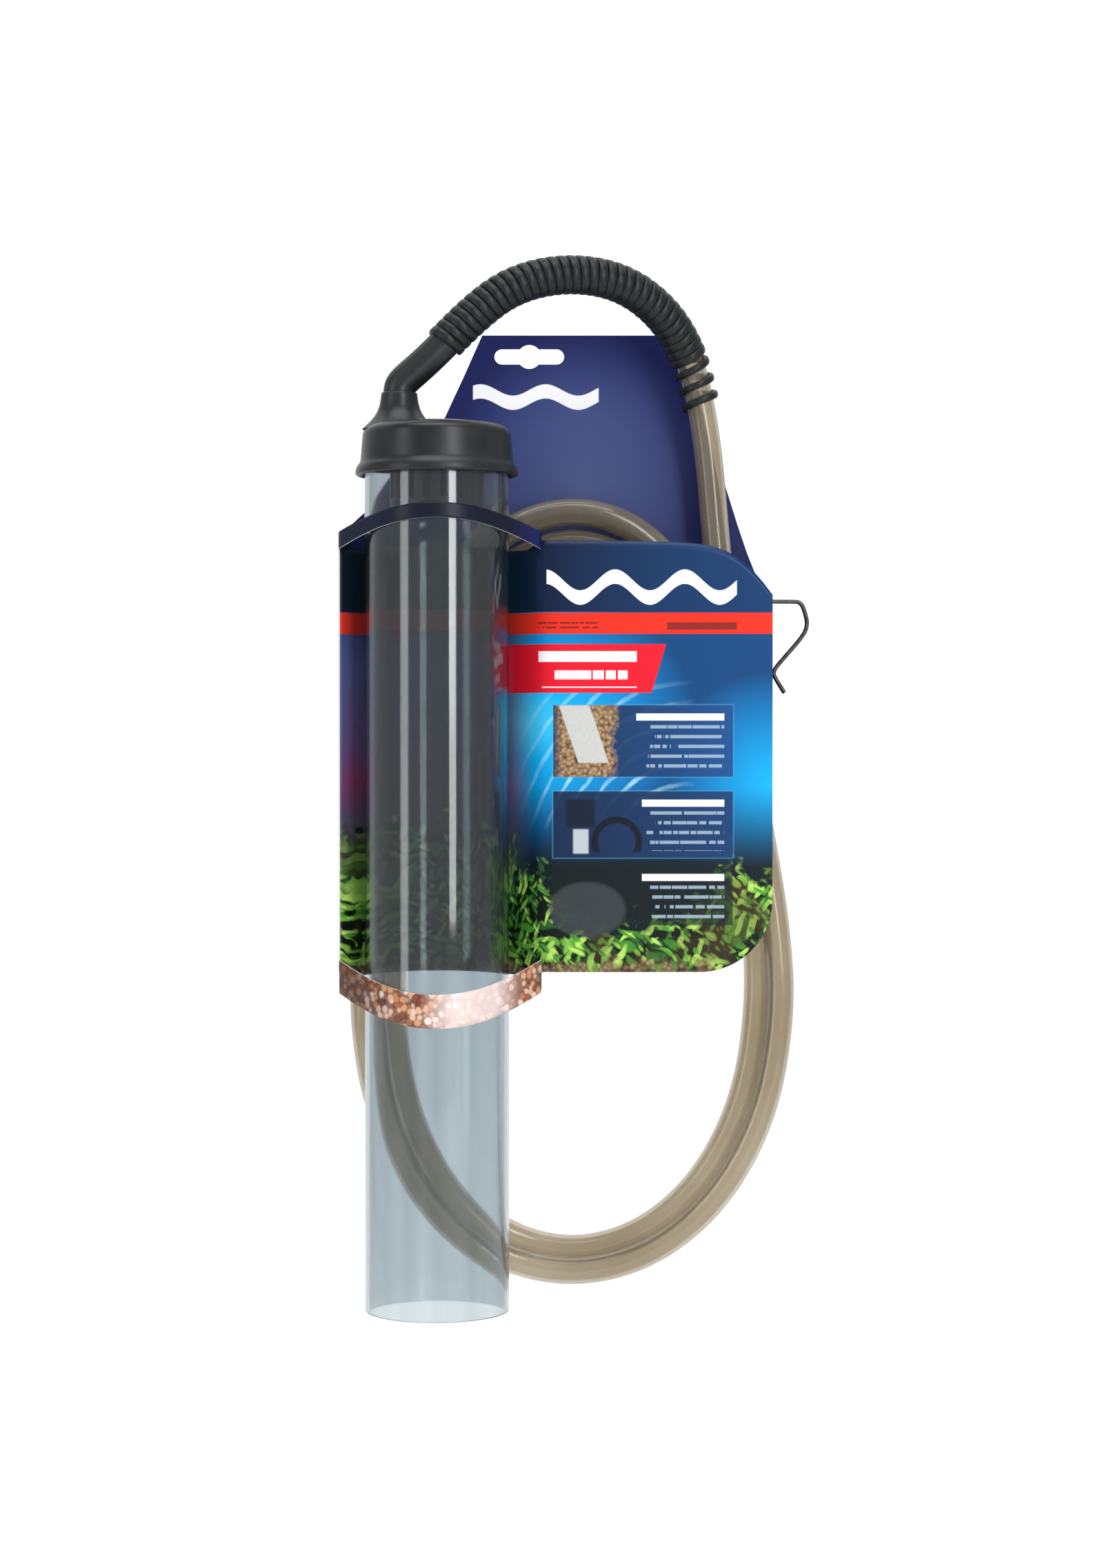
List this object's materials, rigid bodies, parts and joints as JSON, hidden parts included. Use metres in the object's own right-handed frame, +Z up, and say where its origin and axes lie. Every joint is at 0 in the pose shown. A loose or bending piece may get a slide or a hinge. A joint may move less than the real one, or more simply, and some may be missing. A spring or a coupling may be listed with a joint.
{
  "type": "gravel vacuum siphon",
  "caption": "Gravel vacuum siphon: clear wide tube, black cap with check valve, spiral-guarded outlet and coiled hose, held upright in a folded hanging card.",
  "frame": {"origin": "centre of the hanging card's slot, in the middle of the back panel's thickness", "axes": "+Z up along the gravel tube, +X to the right seen from the front, +Y to the back"},
  "size_m": [0.2104, 0.0963, 0.4659],
  "materials": {
    "clear_tube": "clear smoky rigid plastic",
    "black_plastic": "satin black moulded plastic",
    "black_rubber": "black elastomer seals",
    "white_ball": "white plastic valve ball",
    "hose": "translucent soft vinyl, yellowed cream",
    "steel_wire": "bare spring wire",
    "printed_card": "coated, printed card"
  },
  "bodies": {
    "card": {"card_back_panel": "printed_card", "card_front_panel": "printed_card", "card_trough": "printed_card", "card_spine": "printed_card", "card_top_strap": "printed_card", "card_bottom_strap": "printed_card"},
    "siphon": {"cap_body": "black_plastic", "cap_seal_ring": "black_rubber", "valve_seat": "black_plastic", "seat_gasket": "black_rubber", "ball_stop": "black_plastic", "inlet_strainer": "black_plastic", "outlet_neck": "black_plastic", "neck_seal": "black_rubber", "kink_guard": "black_plastic", "clear_hose": "hose", "hose_coil": "hose"},
    "tube": {"gravel_tube": "clear_tube"},
    "ball": {"valve_ball": "white_ball"},
    "clip": {"bucket_clip": "steel_wire"}
  },
  "joints": [
    {"name": "lift_out_of_card", "type": "slide", "parent": "card", "child": "siphon", "axis": [0, 0, 1], "range_m": [0, 0.36]},
    {"name": "tube_pull_off", "type": "slide", "parent": "siphon", "child": "tube", "axis": [0, 0, -1], "range_m": [0, 0.03]},
    {"name": "valve_lift", "type": "slide", "parent": "siphon", "child": "ball", "axis": [0, 0, 1], "range_m": [0, 0.004]},
    {"name": "clip_swivel", "type": "hinge", "parent": "siphon", "child": "clip", "pos_m": [0.0877, -0.017, -0.113], "axis": [0, 0, 1], "range_deg": [-25, 25]}
  ]
}
